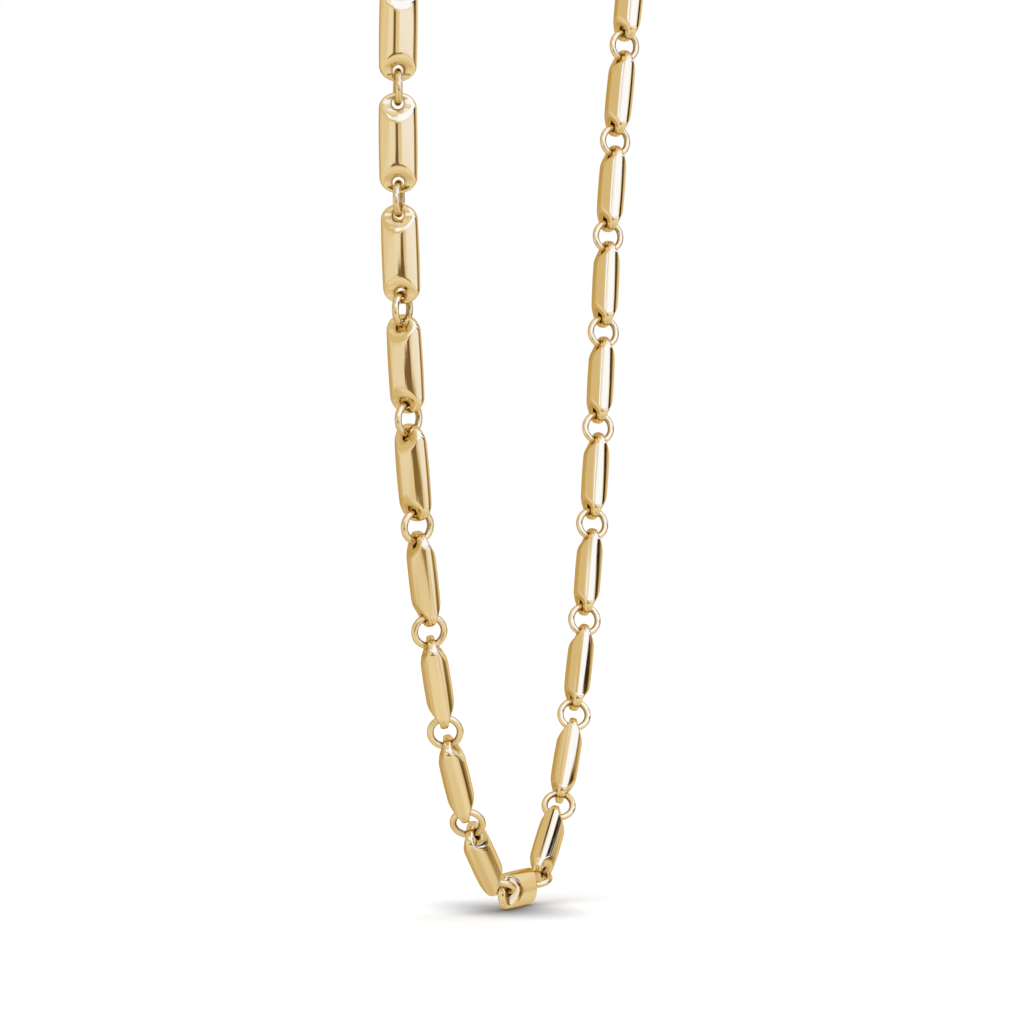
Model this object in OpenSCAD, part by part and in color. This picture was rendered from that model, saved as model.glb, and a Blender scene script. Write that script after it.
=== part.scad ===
// Necklace of polished pill-shaped bar links joined by round jump rings, hanging as it does when worn.
// The origin is at the nape, on the inner side of the clasp. +X is the wearer's left, -Y the front, +Z up.
// Every size is in millimetres and every angle in degrees.

/* [Bar link] */
// Length of a bar from tip to tip
bar_length = 10.6; // [9:0.1:12]
// Width of a bar across its face
bar_width = 4.1; // [3.8:0.1:4.4]
// Thickness of a bar through its two faces
bar_thickness = 3.05; // [2.6:0.05:3.4]
// Length of a bar's rounded end, from the tip to where its sides run straight
end_length = 1.7; // [1.4:0.05:2]
// Thickness of the flat tab at each end of a bar
tab_thickness = 1; // [0.8:0.05:1]
// Length of the flat tab, from the tip
tab_length = 1.1; // [0.8:0.05:1.2]
// Length of the whole chiselled end, from the tip to where it meets the face
chisel_length = 2.55; // [2.2:0.05:2.8]
// Diameter of the hole drilled through each tab
hole_diameter = 1.25; // [1.2:0.01:1.3]

/* [Jump ring] */
// Outside diameter of a jump ring
ring_diameter = 4; // [3.9:0.05:4.2]
// Diameter of the ring's wire
ring_wire = 0.76; // [0.6:0.02:0.78]
// Gap left between a ring and what hangs in it
running_gap = 0.06; // [0.05:0.01:0.08]
// Distance between the tips of two bars that hang in line
tip_gap = 1.1; // [1:0.05:1.4]

/* [Hanging shape] */
// Bars on each side of the lowest bar
bars_each_side = 18; // [18:1:18]
// Height of the catenary's own scale: a larger value opens the bottom of the loop
catenary_scale = 12.2; // [10:0.1:14]
// Turn of the lowest bar about the vertical
lowest_bar_turn = 3.3; // [0:0.1:6]

/* [Clasp] */
// Diameter of the clasp's hook and eye rods
clasp_rod = 1.5; // [1.2:0.1:1.6]
// Width of the clasp's hook
clasp_width = 5.4; // [5:0.1:6]
// Thickness of the clasp's body
clasp_body_thickness = 2.6; // [2.4:0.1:3]

/* [Hidden] */
$fn = 72;
GOLD = "#D9B878";

// Distance from a ring's centre to the outer edge of the hole that it hangs in, clear of the tab's corners
ring_radius = (ring_diameter - ring_wire) / 2;
ring_inner = ring_radius - ring_wire / 2;
hole_edge = sqrt(pow(ring_inner - running_gap, 2) - pow(tab_thickness / 2, 2));
hole_reach = hole_edge + hole_diameter / 2;
// Distance from a bar's tip to its hole's centre, and between a bar's two holes
hole_inset = hole_reach - tip_gap / 2;
hole_span = bar_length - 2 * hole_inset;
pitch = bar_length + tip_gap;

// Past the last bar of the free catenary the chain lies back over the shoulders and round the neck.
// Columns: bar, outward lean from the vertical
catenary_bars = 9;
LEAN_OUT = [[9, 6.5], [10, 6.5], [11, 7], [12, 6], [13, 3], [14, -4], [15, -16], [16, -34], [17, -54],
    [18, -74]];
// Columns: bar, backward lean from the vertical, for each strand
LEAN_LEFT = [[0, 0], [1, -6.4], [2, -4.5], [3, -2.8], [5, -1], [7, 0.8], [9, 3], [10, 10], [11, 20],
    [12, 32], [13, 44], [14, 54], [15, 63], [16, 71], [17, 78], [18, 84]];
LEAN_RIGHT = [[0, 0], [1, 1.7], [2, 1.5], [3, 0.9], [5, 0.3], [7, 0.5], [9, 4], [10, 4], [11, 12],
    [12, 24], [13, 38], [14, 52], [15, 65], [16, 76], [17, 85], [18, 91]];
// Columns: bar, turn of its face about its own axis, from facing outward at 0 to facing the front at 90
ROLL_LEFT = [[0, 90], [1, 90], [2, 76], [3, 69], [4, 52], [5, 31], [6, 19], [7, -1], [8, -17], [9, -30],
    [11, -20], [13, -5], [15, 0], [18, 0]];
ROLL_RIGHT = [[0, 90], [1, 97], [2, 111], [3, 119], [4, 123], [6, 127], [9, 132], [12, 148], [15, 169],
    [17, 180], [18, 180]];

function unit(v) = v / norm(v);
function bar_out(k) = k < catenary_bars ? atan(catenary_scale / (k * pitch)) : lookup(k, LEAN_OUT);
function bar_back(side, k) = lookup(k, side > 0 ? LEAN_LEFT : LEAN_RIGHT);
function bar_roll(side, k) = lookup(k, side > 0 ? ROLL_LEFT : ROLL_RIGHT);

// Direction of bar k away from the lowest bar, and the normal of its face
function bar_along(side, k) =
    k == 0 ? side * [cos(lowest_bar_turn), -sin(lowest_bar_turn), 0]
    : let (o = bar_out(k), b = bar_back(side, k))
        [side * sin(o), cos(o) * sin(b), cos(o) * cos(b)];
function bar_normal(side, k) =
    k == 0 ? [-sin(lowest_bar_turn), -cos(lowest_bar_turn), 0]
    : let (o = bar_out(k), b = bar_back(side, k), r = bar_roll(side, k))
        cos(r) * [side * cos(o), -sin(o) * sin(b), -sin(o) * cos(b)] + sin(r) * [0, -cos(b), sin(b)];

// A frame is [centre, direction along, normal]. The ring between two bars takes the mean of both.
function ring_along(a, b) = unit(a[1] + b[1]);
function ring_normal(a, b) =
    let (u = ring_along(a, b), n = a[2] + b[2])
        unit(n - (n * u) * u);
function in_plane(v, n, u) =
    let (side = cross(u, n))
        unit(v - (v * side) * side);

// The next bar's frame: out of this bar's far hole, through the ring's centre, into the next bar's near hole
function ring_after(bar, next) =
    let (u = ring_along(bar, next), n = ring_normal(bar, next), hole = bar[0] + hole_span / 2 * bar[1])
        [hole + hole_reach * in_plane(bar[1], n, u), u, n];
function place_after(bar, next) =
    let (ring = ring_after(bar, next))
        [ring[0] + hole_reach * in_plane(next[1], ring[2], ring[1]) + hole_span / 2 * next[1],
            next[1], next[2]];
function strand(side, k, bar) =
    k > bars_each_side ? []
    : let (next = place_after(bar, [[0, 0, 0], bar_along(side, k), bar_normal(side, k)]))
        concat([next], strand(side, k + 1, next));

function lowest(side) = [[0, 0, 0], bar_along(side, 0), bar_normal(side, 0)];
LEFT = concat([lowest(1)], strand(1, 1, lowest(1)));
RIGHT = concat([lowest(-1)], strand(-1, 1, lowest(-1)));

// Each strand ends in a ring that hangs in line with its last bar, and the clasp spans the two end rings
function end_ring(bar) = [bar[0] + (hole_span / 2 + hole_reach) * bar[1], bar[1], bar[2]];
LEFT_END = end_ring(LEFT[bars_each_side]);
RIGHT_END = end_ring(RIGHT[bars_each_side]);
clasp_span = norm(LEFT_END[0] - RIGHT_END[0]);
clasp_along = unit(RIGHT_END[0] - LEFT_END[0]);
clasp_out = cross(clasp_along, [0, 0, -1]);
NAPE = (LEFT_END[0] + RIGHT_END[0]) / 2 - clasp_body_thickness / 2 * clasp_out;

function rings_of(strand_bars, last) =
    concat([for (k = [0 : bars_each_side - 1]) ring_after(strand_bars[k], strand_bars[k + 1])], [last]);

function bar_name(k) = str("bar_", k < 10 ? "0" : "", k);
bar_count = 2 * bars_each_side + 1;
// Bars are counted from the clasp, down the wearer's left side and up the right
function bar_frame(i) = i <= bars_each_side ? LEFT[bars_each_side + 1 - i] : RIGHT[i - bars_each_side - 1];

// Puts a shape drawn with its length along Z and its face towards X into a frame
module place(frame) {
    z = unit(frame[1]);
    x = unit(frame[2] - (frame[2] * z) * z);
    y = cross(z, x);
    p = frame[0] - NAPE;
    multmatrix([[x[0], y[0], z[0], p[0]], [x[1], y[1], z[1], p[1]], [x[2], y[2], z[2], p[2]]])
        children();
}

// Barrel of a bar: a round-ended rod, flattened through its faces
module barrel() {
    scale([bar_thickness / bar_width, 1, 1])
        rotate_extrude()
            intersection() {
                union() {
                    square([bar_width, bar_length - 2 * end_length], center = true);
                    for (end = [-1, 1])
                        translate([0, end * (bar_length / 2 - end_length)])
                            scale([1, 2 * end_length / bar_width])
                                circle(d = bar_width);
                }
                translate([0, -bar_length])
                    square([bar_width, 2 * bar_length]);
            }
}

// Wedge that a chisel cut takes off one face at one end
module chisel_cut() {
    over = 1;
    rotate([90, 0, 0])
        linear_extrude(bar_width + 2 * over, center = true)
            polygon([
                [tab_thickness / 2, bar_length / 2 + over],
                [tab_thickness / 2, bar_length / 2 - tab_length],
                [bar_thickness / 2, bar_length / 2 - chisel_length],
                [bar_thickness / 2 + over, bar_length / 2 - chisel_length],
                [bar_thickness / 2 + over, bar_length / 2 + over]
            ]);
}

module bar_link() {
    difference() {
        barrel();
        for (end = [0, 1], face = [0, 1])
            mirror([0, 0, end])
                mirror([face, 0, 0])
                    chisel_cut();
        for (end = [-1, 1])
            translate([0, 0, end * hole_span / 2])
                rotate([0, 90, 0])
                    cylinder(d = hole_diameter, h = bar_thickness + 1, center = true);
    }
}

// A ring lies in the plane of its own direction and the bars' face normal
module jump_ring() {
    rotate([90, 0, 0])
        rotate_extrude()
            translate([ring_radius, 0])
                circle(d = ring_wire);
}

module bar(i) {
    color(GOLD)
        place(bar_frame(i))
            bar_link();
}

module rings(frames) {
    color(GOLD)
        for (frame = frames)
            place(frame)
                jump_ring();
}

module rings_left() {
    rings(rings_of(LEFT, LEFT_END));
}

module rings_right() {
    rings(rings_of(RIGHT, RIGHT_END));
}

// Plain clasp in one piece: a closed hook, a tapered body and an eye, drawn with its length along Z
module clasp() {
    rod = clasp_rod / 2;
    // A rod lies inside its end ring, against the side nearer the clasp, with the gap kept
    rod_reach = clasp_span / 2 - (ring_inner - running_gap - rod);
    hook_radius = clasp_width / 2 - rod;
    hook_centre = rod_reach - hook_radius;
    eye_radius = hook_radius * 0.72;
    eye_centre = eye_radius - rod_reach;
    // Half widths and heights of the body: a straight head that takes the hook's arms, then a taper to the eye
    head = clasp_width / 2 + 0.2;
    foot = eye_radius;
    body_top = hook_centre - 3.4;
    taper_top = body_top - 1.2;
    body_foot = eye_centre + eye_radius - 0.3;
    color(GOLD)
        place([(LEFT_END[0] + RIGHT_END[0]) / 2, clasp_along, clasp_out]) {
            translate([0, 0, hook_centre])
                rotate([0, -90, 0])
                    rotate([0, 0, -90])
                        rotate_extrude(angle = 180)
                            translate([hook_radius, 0])
                                circle(r = rod);
            for (arm = [-1, 1])
                translate([0, arm * hook_radius, body_top - 0.6])
                    cylinder(r = rod, h = hook_centre - body_top + 0.6);
            translate([0, 0, eye_centre])
                rotate([0, 90, 0])
                    rotate_extrude()
                        translate([eye_radius, 0])
                            circle(r = rod);
            rotate([0, 90, 0])
                linear_extrude(clasp_body_thickness, center = true)
                    polygon([
                        [-body_top, -head], [-body_top, head], [-taper_top, head],
                        [-body_foot, foot], [-body_foot, -foot], [-taper_top, -head]
                    ]);
        }
}

for (i = [1 : bar_count])
    bar(i);
rings_left();
rings_right();
clasp();
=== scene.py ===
import math

import bpy
import numpy as np
from mathutils import Matrix, Vector


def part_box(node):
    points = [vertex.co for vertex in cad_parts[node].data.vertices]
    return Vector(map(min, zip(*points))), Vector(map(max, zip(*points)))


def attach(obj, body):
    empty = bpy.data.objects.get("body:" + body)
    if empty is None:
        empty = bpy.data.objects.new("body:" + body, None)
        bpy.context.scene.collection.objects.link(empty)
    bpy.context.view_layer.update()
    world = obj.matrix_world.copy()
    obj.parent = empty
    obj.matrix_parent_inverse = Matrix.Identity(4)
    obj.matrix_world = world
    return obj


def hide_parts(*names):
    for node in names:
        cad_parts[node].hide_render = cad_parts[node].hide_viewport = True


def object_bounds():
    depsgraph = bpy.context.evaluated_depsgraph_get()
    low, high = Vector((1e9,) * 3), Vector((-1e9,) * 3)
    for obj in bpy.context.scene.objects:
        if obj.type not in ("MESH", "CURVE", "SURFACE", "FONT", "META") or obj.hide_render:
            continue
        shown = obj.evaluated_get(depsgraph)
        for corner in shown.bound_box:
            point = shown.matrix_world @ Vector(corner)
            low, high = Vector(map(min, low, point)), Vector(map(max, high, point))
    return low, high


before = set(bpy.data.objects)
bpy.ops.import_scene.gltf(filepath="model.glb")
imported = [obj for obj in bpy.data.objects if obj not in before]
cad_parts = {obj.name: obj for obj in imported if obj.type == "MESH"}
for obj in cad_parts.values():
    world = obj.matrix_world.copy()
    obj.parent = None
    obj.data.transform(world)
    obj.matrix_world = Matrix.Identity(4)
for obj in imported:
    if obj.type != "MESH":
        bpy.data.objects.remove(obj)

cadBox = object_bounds()
mm = 0.001
scene = bpy.context.scene
scene.view_settings.view_transform = "Standard"  # a catalogue picture, with no film curve


def srgb(code):
    parts = [int(code[i:i + 2], 16) / 255 for i in (1, 3, 5)]
    return [p / 12.92 if p < 0.04045 else ((p + 0.055) / 1.055) ** 2.4 for p in parts] + [1]


def addNode(tree, kind, settings=None, links=None):
    node = tree.nodes.new(kind)
    for name, value in (settings or {}).items():
        setattr(node, name, value)
    for name, value in (links or {}).items():
        socket = node.inputs[name]
        if isinstance(value, bpy.types.NodeSocket):
            tree.links.new(value, socket)
        else:
            socket.default_value = value
    return node


# The camera looks level across the front strands, from the wearer's left
photoView = {
    "place": (445.97, 77.79, -113.92),  # mm
    "azimuth": 107.02,  # degrees
    "lens": 145.37, "sensor": 36,  # mm
    "nearest": 0.02, "farthest": 20,  # m, what the camera takes in
}


def makeCamera(view):
    data = bpy.data.cameras.new("photoCamera")
    data.lens, data.sensor_width = view["lens"], view["sensor"]
    data.clip_start, data.clip_end = view["nearest"], view["farthest"]
    camera = bpy.data.objects.new("photoCamera", data)
    turn = math.radians(view["azimuth"])
    look = Vector((-math.sin(turn), math.cos(turn), 0))
    camera.rotation_mode = "QUATERNION"
    camera.rotation_quaternion = look.to_track_quat("-Z", "Y")
    camera.location = Vector(view["place"]) * mm
    scene.collection.objects.link(camera)
    scene.camera = camera


makeCamera(photoView)
print("camera placed")


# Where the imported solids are: each bar and ring gives its middle and its own three axes
def solidMesh(node):
    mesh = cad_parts[node].data
    points = np.empty(len(mesh.vertices) * 3)
    mesh.vertices.foreach_get("co", points)
    mesh.calc_loop_triangles()
    corners = np.empty(len(mesh.loop_triangles) * 3, np.int32)
    mesh.loop_triangles.foreach_get("vertices", corners)
    return points.reshape(-1, 3)[corners.reshape(-1, 3)]


# The volume's own middle and principal axes, from the tetrahedra under its triangles
def middleAndAxes(triangles):
    def volumes(t):
        return np.einsum("ij,ij->i", t[:, 0], np.cross(t[:, 1], t[:, 2]))

    start = triangles.mean((0, 1))
    t = triangles - start
    v = volumes(t)
    shift = (t.sum(1) / 4 * v[:, None]).sum(0) / v.sum()
    t = t - shift
    v = volumes(t)
    corners = np.concatenate([t, t.sum(1, keepdims=True)], 1)
    spread = np.einsum("i,ijk,ijl->kl", v, corners, corners) / v.sum()
    axes = np.linalg.eigh(spread)[1]  # from the thinnest way through to the longest
    if np.linalg.det(axes) < 0:
        axes[:, 0] *= -1
    return start + shift, axes


# The loose solids of one node: all of a solid is within the reach, and the next one is beyond it
def separate(triangles, reach):
    apart = []
    while len(triangles):
        middles = triangles.mean(1)
        near = np.linalg.norm(middles - middles[0], axis=1) < reach
        apart.append(triangles[near])
        triangles = triangles[~near]
    return apart


def placed(middle, axes):
    matrix = Matrix.Identity(4)
    for row in range(3):
        for column in range(3):
            matrix[row][column] = axes[row][column]
        matrix[row][3] = middle[row]
    return matrix


# Forms are given as distances in mm, below nought inside the metal
def meet(a, b, blend):
    return np.maximum(a, b) + np.maximum(blend - np.abs(a - b), 0) ** 2 / (4 * blend)


def join(a, b, blend):
    return -meet(-a, -b, blend)


def slopeOf(form, p, step=0.01):
    parts = []
    for axis in range(3):
        move = np.zeros(3)
        move[axis] = step
        parts.append(form(p + move) - form(p - move))
    slope = np.stack(parts, -1)
    return slope / np.maximum(np.linalg.norm(slope, axis=-1, keepdims=True), 1e-9)


# Where the grid edges along one axis start, and where they end
def edgeEnds(axis, across):
    first, second = [across] * 3, [across] * 3
    first[axis], second[axis] = slice(0, -1), slice(1, None)
    return tuple(first), tuple(second)


# One point for each grid cell that the surface crosses: the sum of where it cuts the cell's edges,
# and how many it cuts
def cellPoints(grid, depth):
    total = np.zeros(tuple(n - 1 for n in depth.shape) + (3,))
    count = np.zeros(total.shape[:3])
    for axis in range(3):
        first, second = edgeEnds(axis, slice(None))
        a, b = depth[first], depth[second]
        cross = (a < 0) != (b < 0)
        share = np.where(cross, a / np.where(cross, a - b, 1), 0)
        spot = grid[first] + share[..., None] * (grid[second] - grid[first])
        spot[~cross] = 0
        others = [i for i in range(3) if i != axis]
        for offset in ((0, 0), (0, 1), (1, 0), (1, 1)):
            part = [slice(None)] * 3
            for other, way in zip(others, offset):
                part[other] = slice(way, depth.shape[other] - 1 + way)
            total += spot[tuple(part)]
            count += cross[tuple(part)]
    return total, count


# One face for each grid edge that the surface cuts, between the points of the four cells round it
def cellFaces(inside, number):
    faces = []
    for axis in range(3):
        one, two = (axis + 1) % 3, (axis + 2) % 3
        first, second = edgeEnds(axis, slice(1, -1))
        a, b = inside[first], inside[second]
        at = np.argwhere(a != b)
        outward = a[tuple(at.T)]
        at[:, one] += 1
        at[:, two] += 1
        corners = []
        for way in ((-1, -1), (0, -1), (0, 0), (-1, 0)):
            cell = at.copy()
            cell[:, one] += way[0]
            cell[:, two] += way[1]
            corners.append(number[tuple(cell.T)])
        quads = np.stack(corners, 1)
        quads[~outward] = quads[~outward][:, ::-1]
        faces.append(quads)
    return np.concatenate(faces)


# A smooth closed mesh on the surface of a form, from a grid laid round it
def meshOfForm(name, form, axes, rounds=4):
    cell = min(a[1] - a[0] for a in axes)
    grid = np.stack(np.meshgrid(*axes, indexing="ij"), -1)
    depth = form(grid)
    total, count = cellPoints(grid, depth)
    used = count > 0
    number = np.full(used.shape, -1)
    number[used] = np.arange(used.sum())
    points = total[used] / count[used][:, None]  # the mean of a cell's cuts
    for _ in range(rounds):  # each round draws the points nearer to the true surface
        away = np.clip(form(points), -cell / 3, cell / 3)
        points = points - slopeOf(form, points) * away[:, None]
    mesh = bpy.data.meshes.new(name)
    mesh.from_pydata((points * mm).tolist(), [], cellFaces(depth < 0, number).tolist())
    mesh.shade_smooth()
    mesh.normals_split_custom_set_from_vertices(slopeOf(form, points).tolist())
    return mesh


def addPiece(name, mesh, material, stands, matrix=None):
    piece = bpy.data.objects.new(name, mesh)
    if not mesh.materials:
        mesh.materials.append(material)
    scene.collection.objects.link(piece)
    if matrix:
        piece.matrix_world = matrix
    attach(piece, "root")
    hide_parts(stands)


# Polished gold plate: bright plating over brass, tumbled and buffed. It mirrors what stands round
# it, with a faint haze and a soft waver left by the buffing wheel. Single buffing marks are too fine
# to show, so the haze is drawn in coarser patches.
polishedGold = {
    "colour": "#F0D9A8",
    "edge": "#EFDDB0",  # what a glancing look sees
    "roughness": (0.05, 0.11),
    "haze": 0.6,  # mm across a patch of haze
    "waver": 2.5, "waverHeight": 0.004,  # mm from crest to crest, and high
    "shade": "#AE924C",  # painted shade round the drilled holes, in the recess where the rings sit
    "paintedShades": [(0.62, 1.1, 0.45)],  # where the painted shade is full and gone, in mm from a hole's middle, and how strong
}
# Cast gold plate for the clasp: polished like the bars, and with no drilled holes, so no painted shade
castGold = dict(polishedGold, paintedShades=[])
# Drawn wire for the rings: even from the drawing die and a little softer than the plate, so its
# highlights are wider. Painted shade darkens the ring's inner side, and a fainter painted shade
# line runs round its outer side.
drawnWire = {
    "colour": "#F0D9A8",
    "edge": "#EFDDB0",
    "roughness": (0.13, 0.19),
    "haze": 0.35,
    "waver": 1.5, "waverHeight": 0.001,
    # painted shade on the ring's inner side, and a fainter painted line along its outer side
    "shade": "#957330",
    # full and gone at, as a share of the way from the outer side to the inner one, and how strong
    "paintedShades": [(0.95, 0.68, 0.72), (0.01, 0.12, 0.15)],
}
noiseSpan = (0.3, 0.7)  # where nearly all of a noise texture's values lie


# How far a point of a bar is from the middle of its nearer hole, mm: this places the
# painted shade round the holes
def holeDistance(tree):
    own = addNode(tree, "ShaderNodeTexCoord").outputs["Object"]
    own = addNode(tree, "ShaderNodeVectorMath", {"operation": "ABSOLUTE"}, {0: own}).outputs[0]
    own = addNode(tree, "ShaderNodeVectorMath", {"operation": "MULTIPLY_ADD"}, {
        0: own, 1: (0, 1 / mm, 1 / mm), 2: (0, 0, -barLink["holeSpan"] / 2),
    }).outputs[0]
    return addNode(tree, "ShaderNodeVectorMath", {"operation": "LENGTH"}, {0: own}).outputs["Value"]


def innerSide(tree):
    return addNode(tree, "ShaderNodeAttribute", {"attribute_name": "inner"}).outputs["Fac"]


def goldMaterial(name, look, where=None):
    material = bpy.data.materials.new(name)
    material.use_nodes = True
    tree = material.node_tree
    shader = tree.nodes["Principled BSDF"]
    shader.inputs["Metallic"].default_value = 1
    shader.inputs["Specular Tint"].default_value = srgb(look["edge"])
    shader.inputs["Base Color"].default_value = srgb(look["colour"])
    colour = srgb(look["colour"])
    # Painted shade: each entry mixes the base colour towards the shade colour where the place measure
    # says
    for full, gone, depth in look["paintedShades"]:
        share = addNode(tree, "ShaderNodeMapRange", {"interpolation_type": "SMOOTHSTEP"}, {
            "Value": where(tree), "From Min": full, "From Max": gone, "To Min": depth, "To Max": 0,
        })
        colour = addNode(tree, "ShaderNodeMix", {"data_type": "RGBA"}, {
            0: share.outputs["Result"], 6: colour, 7: srgb(look["shade"]),
        }).outputs[2]
        tree.links.new(colour, shader.inputs["Base Color"])
    place = addNode(tree, "ShaderNodeNewGeometry").outputs["Position"]
    haze = addNode(tree, "ShaderNodeTexNoise", {}, {
        "Vector": place, "Scale": 1 / (look["haze"] * mm), "Detail": 3, "Roughness": 0.6,
    })
    rough = addNode(tree, "ShaderNodeMapRange", {}, {
        "Value": haze.outputs["Fac"], "From Min": noiseSpan[0], "From Max": noiseSpan[1],
        "To Min": look["roughness"][0], "To Max": look["roughness"][1],
    })
    tree.links.new(rough.outputs["Result"], shader.inputs["Roughness"])
    waver = addNode(tree, "ShaderNodeTexNoise", {}, {
        "Vector": place, "Scale": 1 / (look["waver"] * mm), "Detail": 1,
    })
    bump = addNode(tree, "ShaderNodeBump", {}, {
        "Height": waver.outputs["Fac"], "Distance": look["waverHeight"] * mm, "Strength": 1,
    })
    tree.links.new(bump.outputs["Normal"], shader.inputs["Normal"])
    return material


# Bar link: a pill flattened through its two faces, chiselled to a flat tab at each end, mm
barLink = {
    "length": 10.6, "width": 4.1, "thickness": 3.05, "endLength": 1.7,
    "tabThickness": 1, "tabLength": 1.25, "tabTaper": 0.06, "chiselLength": 2.55,
    "holeSpan": 8.312, "holeDiameter": 1.25,
    "crown": (0.03, 0.012),  # how much thinner and narrower the barrel gets towards its shoulders
    "rimBlend": 0.2, "shoulderBlend": 0.45, "cornerBlend": 0.35, "holeBlend": 0.16,
    "cell": 0.11, "barrelCell": 0.25,  # of the grid that gives the mesh, finer at the ends
    "margin": 0.2, "endMargin": 0.25, "finePast": 0.4,  # grid past the sides, ends and chisels
}

barGold = goldMaterial("polishedGoldPlate", polishedGold, holeDistance)
claspGold = goldMaterial("castGoldPlate", castGold)
wireGold = goldMaterial("drawnGoldWire", drawnWire, innerSide)


def barForm(p):
    b = barLink
    x, y, z = np.abs(p[..., 0]), np.abs(p[..., 1]), np.abs(p[..., 2])
    end, full, tabX = b["length"] / 2, b["thickness"] / 2, b["tabThickness"] / 2
    # the pill, crowned along its barrel
    over = np.maximum(z - end + b["endLength"], 0)
    reach = (np.minimum(z, end - b["endLength"]) / (end - b["chiselLength"])) ** 2
    halfX = full * (1 - b["crown"][0] * reach)
    halfY, halfZ = b["width"] / 2 * (1 - b["crown"][1] * reach), b["endLength"]
    level = np.sqrt((x / halfX) ** 2 + (y / halfY) ** 2 + (over / halfZ) ** 2)
    steep = np.sqrt((x / halfX ** 2) ** 2 + (y / halfY ** 2) ** 2 + (over / halfZ ** 2) ** 2)
    pill = (level - 1) * level / (steep + 1e-4)
    # what the chisel leaves: a slope down to the tab, and the tab
    tabZ = end - b["tabLength"]
    rise, run = full - tabX, b["chiselLength"] - b["tabLength"]
    slope = (run * (x - tabX) + rise * (z - tabZ)) / math.hypot(rise, run)
    kept = join(slope, x - tabX + b["tabTaper"] * (z - tabZ), b["cornerBlend"])
    part = np.clip((x - tabX) / rise, 0, 1)
    blend = b["rimBlend"] + (b["shoulderBlend"] - b["rimBlend"]) * part
    hole = b["holeDiameter"] / 2 - np.hypot(y, z - b["holeSpan"] / 2)
    return meet(meet(pill, kept, blend), hole, b["holeBlend"])


def gridAcross(half, cell):
    count = math.ceil(half / cell)
    return np.linspace(-count - 0.5, count + 0.5, 2 * count + 2) * cell


def gridAlongBar(b):
    top = b["length"] / 2 + b["endMargin"]
    foot = b["length"] / 2 - b["chiselLength"] - b["finePast"]
    end = np.arange(top, foot, -b["cell"])
    barrel = np.linspace(-end[-1], end[-1], round(2 * end[-1] / b["barrelCell"]) + 1)
    return np.concatenate([-end, barrel[1:-1], end[::-1]])


barMesh = meshOfForm("barLink", barForm, [
    gridAcross(barLink["thickness"] / 2 + barLink["margin"], barLink["cell"]),
    gridAcross(barLink["width"] / 2 + barLink["margin"], barLink["cell"]),
    gridAlongBar(barLink),
])
barNodes = sorted(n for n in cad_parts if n.startswith("bar_"))
for node in barNodes:
    addPiece("barLink" + node[-2:], barMesh, barGold, node, placed(*middleAndAxes(solidMesh(node))))
print("bar links made:", len(barNodes), "of", len(barMesh.polygons), "faces each")

# Jump ring: round drawn wire closed on itself, mm
jumpRing = {
    "diameter": 4, "wire": 0.76,
    "around": 72, "across": 20,  # faces
    "reach": 4.3,  # takes in all of one ring from any place on it, and nothing of the next
}


def ringMesh(name, frames):
    r = jumpRing
    wire = r["wire"] / 2
    turn = np.linspace(0, 2 * np.pi, r["around"], endpoint=False)[:, None]
    across = np.linspace(0, 2 * np.pi, r["across"], endpoint=False)[None, :]
    out = r["diameter"] / 2 - wire + wire * np.cos(across)
    local = np.stack([wire * np.sin(across) + 0 * turn, out * np.cos(turn), out * np.sin(turn)], -1)
    i, j = np.meshgrid(np.arange(r["around"]), np.arange(r["across"]), indexing="ij")
    ni, nj = (i + 1) % r["around"], (j + 1) % r["across"]
    quads = np.stack([i, ni, ni, i], -1) * r["across"] + np.stack([j, j, nj, nj], -1)
    points, faces = [], []
    for count, (middle, axes) in enumerate(frames):
        points.append(local.reshape(-1, 3) * mm @ axes.T + middle)
        faces.append(quads.reshape(-1, 4) + count * local.shape[0] * local.shape[1])
    mesh = bpy.data.meshes.new(name)
    mesh.from_pydata(np.concatenate(points).tolist(), [], np.concatenate(faces).tolist())
    mesh.shade_smooth()
    inner = np.broadcast_to((1 - np.cos(across)) / 2, local.shape[:2]).ravel()
    # where each point lies round the wire; this places the ring's painted shade
    sides = mesh.attributes.new("inner", "FLOAT", "POINT")  # 0 on the outer side, 1 on the inner one
    sides.data.foreach_set("value", np.tile(inner, len(frames)))
    return mesh


claspMiddle = np.mean([list(c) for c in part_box("clasp")], 0)
endRings = {}
for side in ("Left", "Right"):
    node = "rings_" + side.lower()
    frames = [middleAndAxes(t) for t in separate(solidMesh(node), jumpRing["reach"] * mm)]
    endRings[side] = min((f[0] for f in frames), key=lambda m: np.linalg.norm(m - claspMiddle))
    addPiece("jumpRings" + side, ringMesh("jumpRings" + side, frames), wireGold, node)
    print("jump rings made:", side, len(frames))

# Clasp: closed hook, body and eye cast in one, behind the neck, mm
clasp = {
    "width": 5.4, "thickness": 2.6,
    "rod": 0.75,  # half the bow's and the eye's thickness
    "seat": 0.43,  # how far the bow and the eye run inside the middles of the end rings
    "eyeShare": 0.72,  # the eye's size against the bow's
    "neck": 3.4,  # from the bow's middle to the body
    "shoulder": 1.2, "overhang": 0.2,  # the body's straight top, wider than the bow on each side
    "bowRoot": 0.8, "eyeRoot": 0.3,  # how far the bow and the eye go into the body
    "edge": 0.5, "sideBlend": 0.8, "rootBlend": 0.2, "blend": 0.5,
    "cell": 0.125, "margins": (0.3, 0.5, 0.8),  # of the grid, and past the thickness, width, length
}
claspAlong = endRings["Right"] - endRings["Left"]
claspSpan = np.linalg.norm(claspAlong) / mm
claspAlong = claspAlong / np.linalg.norm(claspAlong)
claspOut = np.cross(claspAlong, [0, 0, -1])
claspAxes = np.stack([claspOut, np.cross(claspAlong, claspOut), claspAlong], 1)


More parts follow.
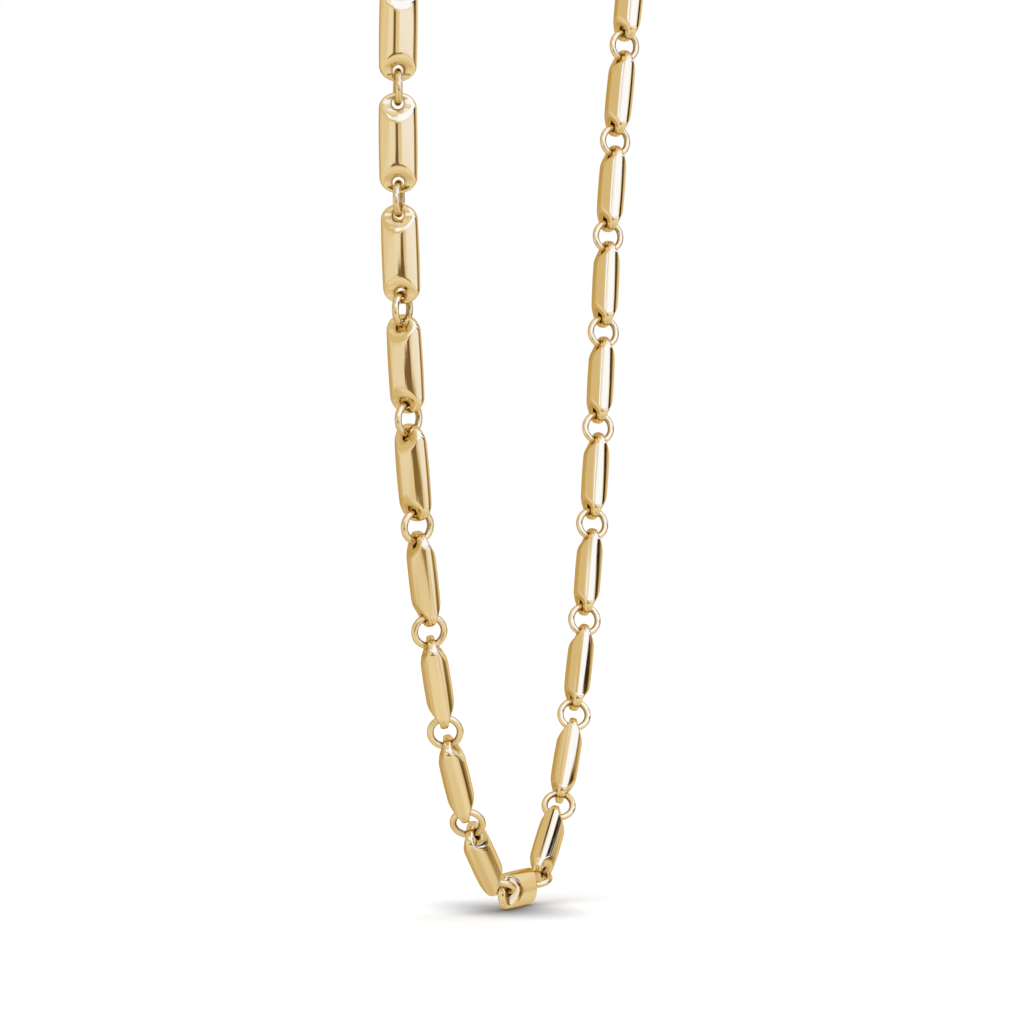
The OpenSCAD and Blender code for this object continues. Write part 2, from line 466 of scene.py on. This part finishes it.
def claspForm(p):
    c = clasp
    x, y, z = np.abs(p[..., 0]), np.abs(p[..., 1]), p[..., 2]
    rod, reach = c["rod"], claspSpan / 2 - c["seat"]
    hook = c["width"] / 2 - rod
    hookMiddle, eye = reach - hook, hook * c["eyeShare"]
    eyeMiddle = eye - reach
    bodyTop = hookMiddle - c["neck"]
    taperTop, bodyFoot = bodyTop - c["shoulder"], eyeMiddle + eye - c["eyeRoot"]
    bow = np.hypot(np.hypot(y, np.maximum(z - hookMiddle, 0)) - hook, x) - rod
    bow = meet(bow, bodyTop - c["bowRoot"] - z, c["rootBlend"])
    loop = np.hypot(np.hypot(y, z - eyeMiddle) - eye, x) - rod
    head, foot = c["width"] / 2 + c["overhang"], eye
    run, fall = taperTop - bodyFoot, head - foot
    side = ((y - head) * run - (z - taperTop) * fall) / math.hypot(run, fall)
    plate = meet(y - head, side, c["sideBlend"])
    plate = meet(plate, np.maximum(z - bodyTop, bodyFoot - z), c["edge"])
    plate = meet(plate, x - c["thickness"] / 2, c["edge"])
    return join(join(plate, bow, c["blend"]), loop, c["blend"])


claspHalves = (clasp["thickness"] / 2, clasp["width"] / 2, claspSpan / 2)
claspMesh = meshOfForm("clasp", claspForm, [
    gridAcross(half + margin, clasp["cell"]) for half, margin in zip(claspHalves, clasp["margins"])
])
claspPlace = placed((endRings["Left"] + endRings["Right"]) / 2, claspAxes)
addPiece("claspBody", claspMesh, claspGold, "clasp", claspPlace)
print("clasp made:", len(claspMesh.polygons), "faces")

# Studio round the necklace, as the metal mirrors it: tan card, with bright panels and dark gaps in it.
# Each row covers those above it. Its columns, in degrees: azimuth from the camera, positive to the
# picture's right, half width, elevation, half height, softness of the edges, lean to the right for
# each degree that the panel rises, and then its light.
studioCard = (0.765, 0.675, 0.48)
studioPanels = [
    # card behind, beside and below the necklace
    (-150, 34, 12, 9, 14, 0, (0.62, 0.49, 0.24)),
    (-150, 34, -4, 8, 14, 0, (0.66, 0.55, 0.38)),
    (-65, 42, -15, 9, 8, 0, (0.92, 0.91, 0.92)),
    (-80, 35, -2, 5, 8, 0, (0.87, 0.82, 0.7)),
    (155, 27, 3, 9, 10, 0, (0.93, 0.9, 0.9)),
    (153, 17, 18, 8, 8, 0, (0.99, 1.03, 1.3)),
    (152, 15, -17, 8, 8, 0, (0.95, 0.96, 1.08)),
    (0, 180, -62, 27, 8, 0, (0.85, 0.79, 0.66)),
    (0, 180, -28, 7, 6, 0, (0.85, 0.8, 0.68)),
    (-20, 60, -38, 6, 12, 0, (0.93, 0.9, 0.8)),
    (62, 35, -30, 12, 14, 0, (0.95, 0.93, 0.88)),
    (-110, 26, -34, 14, 16, 0, (0.74, 0.66, 0.46)),
    (0, 180, -90, 26, 14, 0, (0.75, 0.66, 0.48)),
    (-104, 22, -72, 7, 8, 0, (0.93, 0.87, 0.73)),
    (-150, 28, -38, 16, 16, 0, (0.72, 0.61, 0.4)),
    (-138, 18, -20, 6, 8, 0, (0.63, 0.5, 0.28)),
    (-88, 14, 44, 8, 8, 0, (0.9, 0.84, 0.7)),
    # bright panels in front, above and to the right
    (-50, 20, 58, 8, 8, 0, (0.98, 0.98, 1.1)),
    (-8, 20, 68, 6, 6, 0, (1.08, 1.3, 2.0)),
    (-20, 18, 50, 12, 8, 0, (0.95, 0.93, 0.95)),
    (50, 46, 50, 12, 6, 0, (1.1, 1.3, 2.1)),
    (-19, 15, 19, 10, 6, 0, (1.09, 1.28, 1.95)),
    (-29, 7, 21, 7, 4, 0, (1.12, 1.38, 2.33)),
    (-13, 6, 27, 3.5, 4, 0, (0.95, 0.97, 1.1)),
    (33, 37, 17, 14, 6, 0, (1.12, 1.38, 2.33)),
    (43, 45, 36, 10, 5, 0, (1.12, 1.38, 2.33)),
    (-44, 8, 27, 5, 6, 0, (0.9, 0.9, 0.9)),
    (-17, 2.5, 20, 4, 3, 0, (0.94, 0.93, 0.95)),
    (84, 18, 24, 14, 3, -1.4, (1.12, 1.38, 2.33)),
    (76, 28, 62, 17, 6, 0, (1.12, 1.36, 2.2)),
    (76, 10, 8, 6, 5, 0, (1.03, 1.16, 1.63)),
    # paler card low in front
    (45, 48, -18.5, 4, 4, 0, (0.85, 0.8, 0.72)),
    (43, 44, -11.5, 4, 4, 0, (1.0, 1.06, 1.3)),
    (50, 42, -4, 5, 4, 0, (1.03, 1.12, 1.5)),
    (-27, 14, -8, 7, 8, 0, (0.97, 0.98, 1.03)),
    (8, 8, -9, 7, 6, 0, (0.84, 0.77, 0.64)),
    # dark gap low in front
    (18, 14, -21.5, 3.5, 3, 0, (0.34, 0.25, 0.11)),
    (-8, 20, -22.5, 3, 2, 0, (0.27, 0.18, 0.08)),
    (-32, 5, -18, 1.5, 2, 0, (0.17, 0.105, 0.05)),
    (-12, 17, -17.5, 3, 2, 0, (0.22, 0.145, 0.062)),
    (-6, 7, -13.5, 2, 2, 0, (0.13, 0.08, 0.035)),
    (-5, 5.5, -9.5, 6.5, 4, 0, (0.19, 0.125, 0.055)),
    # dark gaps to the right
    (117, 18, -7, 8, 8, 0, (0.42, 0.32, 0.17)),
    (122, 14, -16, 8, 10, 0, (0.5, 0.4, 0.22)),
    (112, 7, -6, 5, 6, 0, (0.24, 0.17, 0.08)),
    (107, 12, -11, 3.5, 6, 0, (0.15, 0.095, 0.04)),
    (104, 7, -0.5, 2.5, 3, 0, (0.24, 0.18, 0.09)),
    (110, 9, 5, 5, 5, 0, (0.28, 0.22, 0.1)),
    (90, 11, 9.5, 9.5, 4, -2.4, (0.5, 0.33, 0.13)),
    (90, 8, 9.5, 8.5, 3, -2.4, (0.02, 0.012, 0.004)),
    (94, 8, 5, 3.5, 3, 0, (0.06, 0.04, 0.02)),
    (112, 9, 17, 5, 6, 0, (0.16, 0.1, 0.045)),
    (98, 6, 30, 8.5, 3, -0.9, (0.02, 0.012, 0.006)),
    # dark ceiling straight above
    (42, 16, 80, 4, 5, 0, (0.33, 0.24, 0.11)),
    (0, 180, 90, 7.5, 3, 0, (0.1, 0.06, 0.02)),
]


# How much of a panel there is at an angle, from 1 inside it to 0 outside
def panelShare(tree, angle, middle, half, soft):
    away = addNode(tree, "ShaderNodeMath", {"operation": "SUBTRACT"}, {0: angle, 1: middle})
    away = addNode(tree, "ShaderNodeMath", {"operation": "WRAP"}, {0: away.outputs[0], 1: 180, 2: -180})
    away = addNode(tree, "ShaderNodeMath", {"operation": "ABSOLUTE"}, {0: away.outputs[0]})
    return addNode(tree, "ShaderNodeMapRange", {"interpolation_type": "SMOOTHSTEP"}, {
        "Value": away.outputs[0], "From Min": half - soft / 2, "From Max": half + soft / 2,
        "To Min": 1, "To Max": 0,
    }).outputs["Result"]


def makeStudio(card, panels, azimuth):
    world = bpy.data.worlds.new("studio")
    scene.world = world
    world.use_nodes = True
    tree = world.node_tree
    way = addNode(tree, "ShaderNodeTexCoord").outputs["Generated"]
    parts = addNode(tree, "ShaderNodeVectorRotate", {"rotation_type": "Z_AXIS"}, {
        "Vector": way, "Angle": -math.radians(azimuth - 90),
    })
    parts = addNode(tree, "ShaderNodeSeparateXYZ", {}, {"Vector": parts.outputs["Vector"]})
    around = addNode(tree, "ShaderNodeMath", {"operation": "ARCTAN2"}, {
        0: parts.outputs["Y"], 1: parts.outputs["X"],
    }).outputs[0]
    around = addNode(tree, "ShaderNodeMath", {"operation": "DEGREES"}, {0: around}).outputs[0]
    height = addNode(tree, "ShaderNodeMath", {"operation": "ARCSINE"}, {0: parts.outputs["Z"]})
    height = addNode(tree, "ShaderNodeMath", {"operation": "DEGREES"}, {0: height.outputs[0]}).outputs[0]
    light = card + (1,)
    for middle, halfWidth, level, halfHeight, soft, lean, colour in panels:
        leaning = around
        if lean:
            leaning = addNode(tree, "ShaderNodeMath", {"operation": "MULTIPLY_ADD"}, {
                0: height, 1: -lean, 2: around,
            }).outputs[0]
            middle -= lean * level
        share = addNode(tree, "ShaderNodeMath", {"operation": "MULTIPLY"}, {
            0: panelShare(tree, leaning, middle, halfWidth, soft),
            1: panelShare(tree, height, level, halfHeight, soft),
        })
        light = addNode(tree, "ShaderNodeMix", {"data_type": "RGBA"}, {
            0: share.outputs[0], 6: light, 7: colour + (1,),
        }).outputs[2]
    seen = addNode(tree, "ShaderNodeLightPath").outputs["Is Camera Ray"]
    shown = addNode(tree, "ShaderNodeMix", {"data_type": "RGBA"}, {
        0: seen, 6: light, 7: (1, 1, 1, 1),  # plain white behind the necklace
    })
    tree.links.new(shown.outputs[2], tree.nodes["Background"].inputs["Color"])
    world.cycles_visibility.diffuse = False  # the lamp alone lights the floor


makeStudio(studioCard, studioPanels, photoView["azimuth"])

# Matt white paper just under the lowest bar, smooth and without gloss, in a broad soft light from
# above. It is clear from below. An oval of painted shade, a painted contact shadow on top of the
# lamp's own soft shadow, darkens the paper where the bar nearly touches it.
floorLook = {
    "drop": 0.15,  # mm below the lowest bar
    "size": 6,  # m
    "light": 3.6, "spread": 110,  # W/m2 and degrees
    "shade": (2, -58.6), "shadeReach": (16.5, 10.2), "turn": 45,  # the painted shade's middle, reach and turn: mm, mm and degrees
    "white": "#F9F9F9", "dark": "#A6A8AC",  # the paper, and the middle of the painted shade
}


def paperMaterial(look, level):
    material = bpy.data.materials.new("whitePaper")
    material.use_nodes = True
    tree = material.node_tree
    shader = tree.nodes["Principled BSDF"]
    shader.inputs["Roughness"].default_value = 1
    shader.inputs["Specular IOR Level"].default_value = 0
    place = addNode(tree, "ShaderNodeNewGeometry").outputs["Position"]
    place = addNode(tree, "ShaderNodeMapping", {"vector_type": "TEXTURE"}, {
        "Vector": place, "Location": (look["shade"][0] * mm, look["shade"][1] * mm, level),
        "Rotation": (0, 0, math.radians(look["turn"])),
        "Scale": (look["shadeReach"][0] * mm, look["shadeReach"][1] * mm, 1),
    })
    # painted shade: the paper's colour darkens towards the oval's middle
    away = addNode(tree, "ShaderNodeVectorMath", {"operation": "LENGTH"}, {0: place.outputs[0]})
    share = addNode(tree, "ShaderNodeMapRange", {"interpolation_type": "SMOOTHSTEP"}, {
        "Value": away.outputs["Value"],
    })
    paper = addNode(tree, "ShaderNodeMix", {"data_type": "RGBA"}, {
        0: share.outputs["Result"], 6: srgb(look["dark"]), 7: srgb(look["white"]),
    })
    tree.links.new(paper.outputs[2], shader.inputs["Base Color"])
    clear = addNode(tree, "ShaderNodeBsdfTransparent").outputs[0]
    under = addNode(tree, "ShaderNodeNewGeometry").outputs["Backfacing"]
    both = addNode(tree, "ShaderNodeMixShader", {}, {0: under, 1: shader.outputs[0], 2: clear})
    tree.links.new(both.outputs[0], tree.nodes["Material Output"].inputs["Surface"])
    return material


def makeFloor(look):
    level = cadBox[0][2] - look["drop"] * mm
    half = look["size"] / 2
    mesh = bpy.data.meshes.new("floorSheet")
    corners = [(x, y, level) for x, y in ((-half, -half), (half, -half), (half, half), (-half, half))]
    mesh.from_pydata(corners, [], [(0, 1, 2, 3)])
    mesh.materials.append(paperMaterial(look, level))
    floor = bpy.data.objects.new("floorSheet", mesh)
    floor.visible_glossy = False  # the metal mirrors the studio alone
    scene.collection.objects.link(floor)


def makeLight(look):
    lamp = bpy.data.lights.new("topLight", "SUN")
    lamp.energy, lamp.angle = look["light"], math.radians(look["spread"])
    light = bpy.data.objects.new("topLight", lamp)
    light.visible_glossy = False
    scene.collection.objects.link(light)


makeFloor(floorLook)
makeLight(floorLook)
print("studio and floor made")
